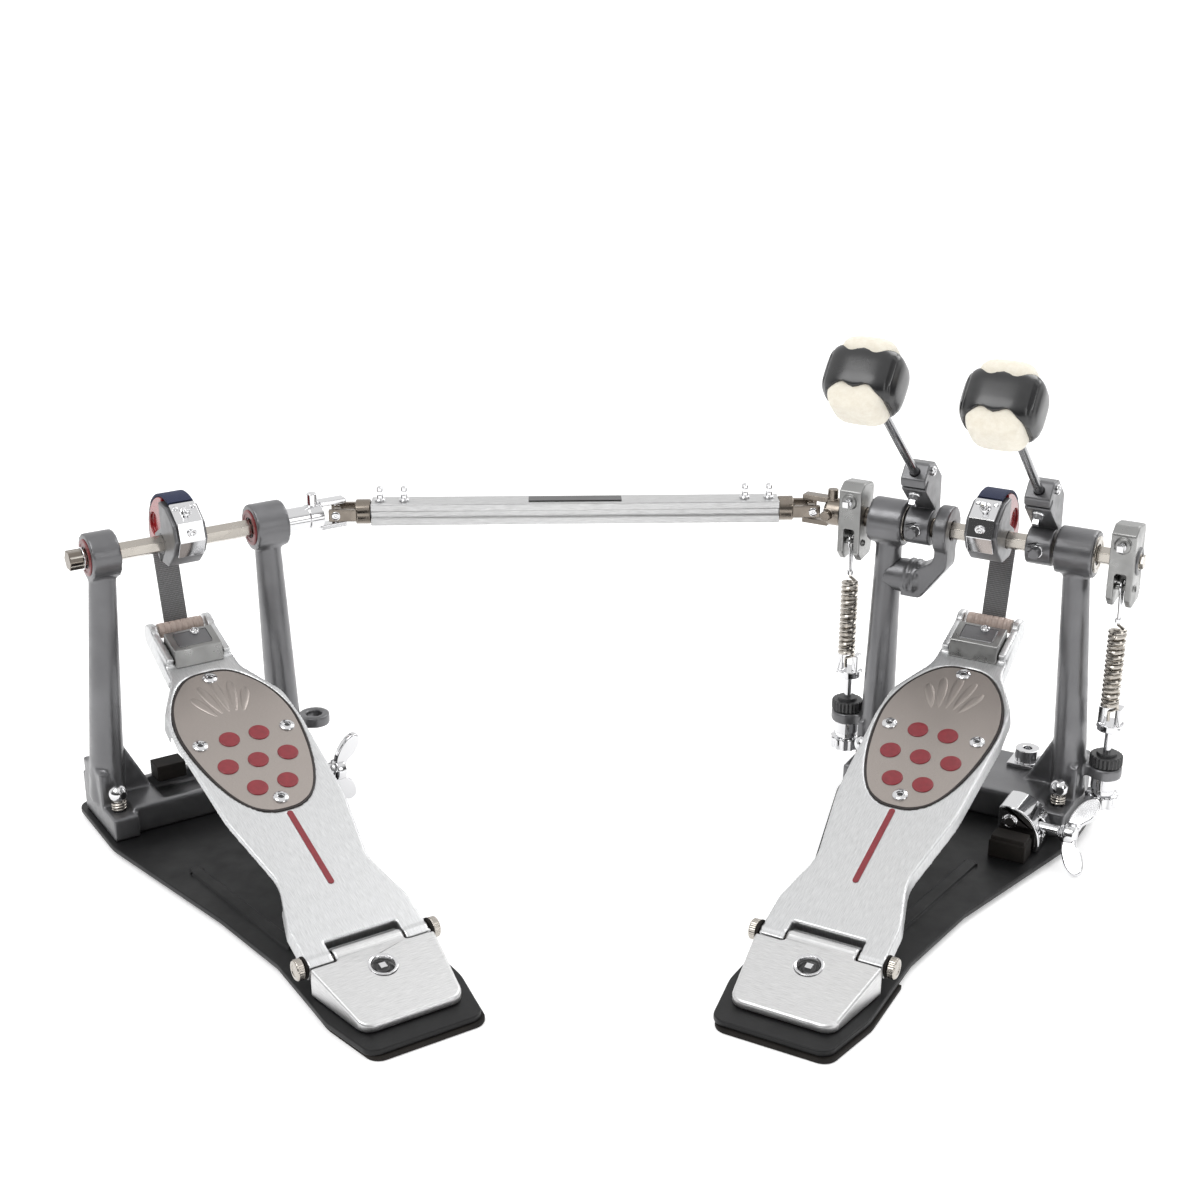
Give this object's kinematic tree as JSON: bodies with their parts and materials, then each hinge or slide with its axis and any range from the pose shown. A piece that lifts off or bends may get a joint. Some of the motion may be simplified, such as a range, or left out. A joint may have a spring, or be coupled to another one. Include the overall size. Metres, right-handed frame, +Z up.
{
  "type": "double bass drum pedal",
  "caption": "Double bass drum pedal: two footboards on stands joined by a telescoping shaft, with sprung beaters on the right-hand stand.",
  "frame": {"origin": "middle of the footprint, on the floor", "axes": "+X along the drive shaft from the slave pedal to the primary pedal, +Y towards the drum, +Z up"},
  "size_m": [0.7032, 0.3868, 0.3471],
  "materials": {
    "cast": "satin dark grey cast metal",
    "black_plate": "satin black",
    "rubber": "matt black rubber",
    "silver": "brushed aluminium",
    "chrome": "mirror chrome",
    "steel": "nickel-plated steel",
    "dark_steel": "black steel",
    "inset": "matt warm grey",
    "red": "gloss red",
    "belt": "woven dark grey strap",
    "felt": "cream felt with a black shell"
  },
  "bodies": {
    "primary_stand": {"primary_base_plate": "black_plate", "primary_rubber": "rubber", "primary_frame": "cast", "primary_heel_plate": "silver", "primary_heel_pin": "chrome", "primary_spur_screws": "chrome", "primary_belt": "belt", "loop_arm": "cast", "tension_rods": "chrome"},
    "primary_treadle": {"primary_footboard": "silver", "primary_inset": "inset", "primary_inset_screws": "chrome", "primary_grip_marks": "red", "primary_belt_clamp": "cast"},
    "primary_shaft": {"primary_hex_axle": "steel", "primary_cam": "cast", "primary_cam_insert": "red", "primary_belt_wrap": "belt", "primary_belt_plate": "chrome", "right_spring_cam": "cast", "right_holder": "cast"},
    "right_beater": {"right_beater_rod": "steel", "right_beater_head": "felt"},
    "right_spring": {"right_spring": "steel"},
    "right_link": {"right_spring_link": "chrome"},
    "right_nuts": {"right_spring_nuts": "dark_steel"},
    "left_shaft": {"stub_axle": "steel", "left_spring_cam": "cast", "left_holder": "cast"},
    "left_beater": {"left_beater_rod": "steel", "left_beater_head": "felt"},
    "left_spring": {"left_spring": "steel"},
    "left_link": {"left_spring_link": "chrome"},
    "left_nuts": {"left_spring_nuts": "dark_steel"},
    "hoop_foot": {"hoop_collar": "chrome"},
    "hoop_jaw": {"hoop_jaw": "chrome"},
    "primary_wing": {"primary_wing_screw": "chrome"},
    "drive_shaft": {"drive_sleeve": "silver", "sleeve_fittings": "chrome", "fixed_yoke": "dark_steel"},
    "slave_stand": {"slave_base_plate": "black_plate", "slave_rubber": "rubber", "slave_frame": "cast", "slave_heel_plate": "silver", "slave_heel_pin": "chrome", "slave_spur_screws": "chrome", "slave_belt": "belt"},
    "slave_treadle": {"slave_footboard": "silver", "slave_inset": "inset", "slave_inset_screws": "chrome", "slave_grip_marks": "red", "slave_belt_clamp": "cast"},
    "slave_shaft": {"slave_hex_axle": "steel", "slave_cam": "cast", "slave_cam_insert": "red", "slave_belt_wrap": "belt", "slave_belt_plate": "chrome", "slave_collar": "chrome"},
    "slide_yoke": {"slide_yoke": "dark_steel"},
    "slave_wing": {"slave_wing_screw": "chrome"}
  },
  "joints": [
    {"name": "primary_axle_turn", "type": "hinge", "parent": "primary_stand", "child": "primary_shaft", "pos_m": [0.26282, 0.11655, 0.192], "axis": [0.8572, -0.515, 0], "range_deg": [-46, 0], "stiffness_Nm_per_rad": 0.6, "springref_deg": 14.32},
    {"name": "primary_treadle_press", "type": "hinge", "parent": "primary_stand", "child": "primary_treadle", "pos_m": [0.12582, -0.11145, 0.0215], "axis": [0.8572, -0.515, 0], "range_deg": [-5, 0], "deforming": ["primary_belt"]},
    {"name": "right_beater_slide", "type": "slide", "parent": "primary_shaft", "child": "right_beater", "axis": [-0.3945, -0.6566, 0.6428], "range_m": [-0.02, 0.02]},
    {"name": "right_spring_tilt", "type": "hinge", "parent": "primary_stand", "child": "right_spring", "pos_m": [0.34014, 0.07243, 0.08], "axis": [0.8572, -0.515, 0], "range_deg": [0, 6]},
    {"name": "right_spring_stretch", "type": "slide", "parent": "right_spring", "child": "right_link", "axis": [0, 0, 1], "range_m": [0, 0.0107], "deforming": ["right_spring"]},
    {"name": "right_nuts_turn", "type": "hinge", "parent": "primary_stand", "child": "right_nuts", "pos_m": [0.34014, 0.07243, 0.05], "axis": [0, 0, 1], "continuous": true},
    {"name": "left_shaft_turn", "type": "hinge", "parent": "primary_stand", "child": "left_shaft", "pos_m": [0.26282, 0.11655, 0.192], "axis": [0.8572, -0.515, 0], "range_deg": [-46, 0]},
    {"name": "left_beater_slide", "type": "slide", "parent": "left_shaft", "child": "left_beater", "axis": [-0.3945, -0.6566, 0.6428], "range_m": [-0.02, 0.02]},
    {"name": "left_spring_tilt", "type": "hinge", "parent": "primary_stand", "child": "left_spring", "pos_m": [0.18156, 0.16771, 0.08], "axis": [0.8572, -0.515, 0], "range_deg": [0, 6]},
    {"name": "left_spring_stretch", "type": "slide", "parent": "left_spring", "child": "left_link", "axis": [0, 0, 1], "range_m": [0, 0.0107], "deforming": ["left_spring"]},
    {"name": "left_nuts_turn", "type": "hinge", "parent": "primary_stand", "child": "left_nuts", "pos_m": [0.18156, 0.16771, 0.05], "axis": [0, 0, 1], "continuous": true},
    {"name": "primary_wing_turn", "type": "hinge", "parent": "primary_stand", "child": "primary_wing", "pos_m": [0.30529, 0.0222, 0.021], "axis": [0.8572, -0.515, 0], "range_deg": [0, 270]},
    {"name": "hoop_foot_lift", "type": "slide", "parent": "primary_stand", "child": "hoop_foot", "axis": [0, 0, 1], "range_m": [0, 0.011]},
    {"name": "hoop_jaw_rock", "type": "hinge", "parent": "primary_stand", "child": "hoop_jaw", "pos_m": [0.27289, 0.044, 0.014], "axis": [-0.515, -0.8572, 0], "range_deg": [0, 3.2]},
    {"name": "drive_shaft_turn", "type": "hinge", "parent": "primary_stand", "child": "drive_shaft", "pos_m": [-0.0118, 0.1832, 0.192], "axis": [1, 0, 0], "range_deg": [-46, 0]},
    {"name": "slave_stand_slide", "type": "slide", "parent": "primary_stand", "child": "slave_stand", "axis": [1, 0, 0], "range_m": [-0.06, 0]},
    {"name": "slave_axle_turn", "type": "hinge", "parent": "slave_stand", "child": "slave_shaft", "pos_m": [-0.27373, 0.12418, 0.192], "axis": [0.8572, 0.515, 0], "range_deg": [-46, 0], "stiffness_Nm_per_rad": 0.6, "springref_deg": 14.32},
    {"name": "slave_treadle_press", "type": "hinge", "parent": "slave_stand", "child": "slave_treadle", "pos_m": [-0.13673, -0.10383, 0.0215], "axis": [0.8572, 0.515, 0], "range_deg": [-5, 0], "deforming": ["slave_belt"]},
    {"name": "slide_yoke_turn", "type": "hinge", "parent": "slave_stand", "child": "slide_yoke", "pos_m": [-0.1755, 0.1832, 0.192], "axis": [1, 0, 0], "range_deg": [-46, 0]},
    {"name": "slave_wing_turn", "type": "hinge", "parent": "slave_stand", "child": "slave_wing", "pos_m": [-0.17459, 0.10675, 0.033], "axis": [0.8572, 0.515, 0], "range_deg": [0, 270]}
  ],
  "couplings": [
    {"joint": "primary_treadle_press", "follows": "primary_axle_turn", "ratio": 0.1087},
    {"joint": "right_spring_tilt", "follows": "primary_axle_turn", "ratio": -0.1261},
    {"joint": "right_spring_stretch", "follows": "primary_axle_turn", "m_per_rad": -0.01308},
    {"joint": "left_spring_stretch", "follows": "slave_axle_turn", "m_per_rad": -0.01308},
    {"joint": "slave_treadle_press", "follows": "slave_axle_turn", "ratio": 0.1087},
    {"joint": "slide_yoke_turn", "follows": "slave_axle_turn", "ratio": 1},
    {"joint": "drive_shaft_turn", "follows": "slave_axle_turn", "ratio": 1},
    {"joint": "left_shaft_turn", "follows": "slave_axle_turn", "ratio": 1},
    {"joint": "left_spring_tilt", "follows": "slave_axle_turn", "ratio": -0.1261},
    {"joint": "hoop_foot_lift", "follows": "primary_wing_turn", "m_per_rad": 0.0021},
    {"joint": "hoop_jaw_rock", "follows": "primary_wing_turn", "ratio": 0.0108}
  ]
}
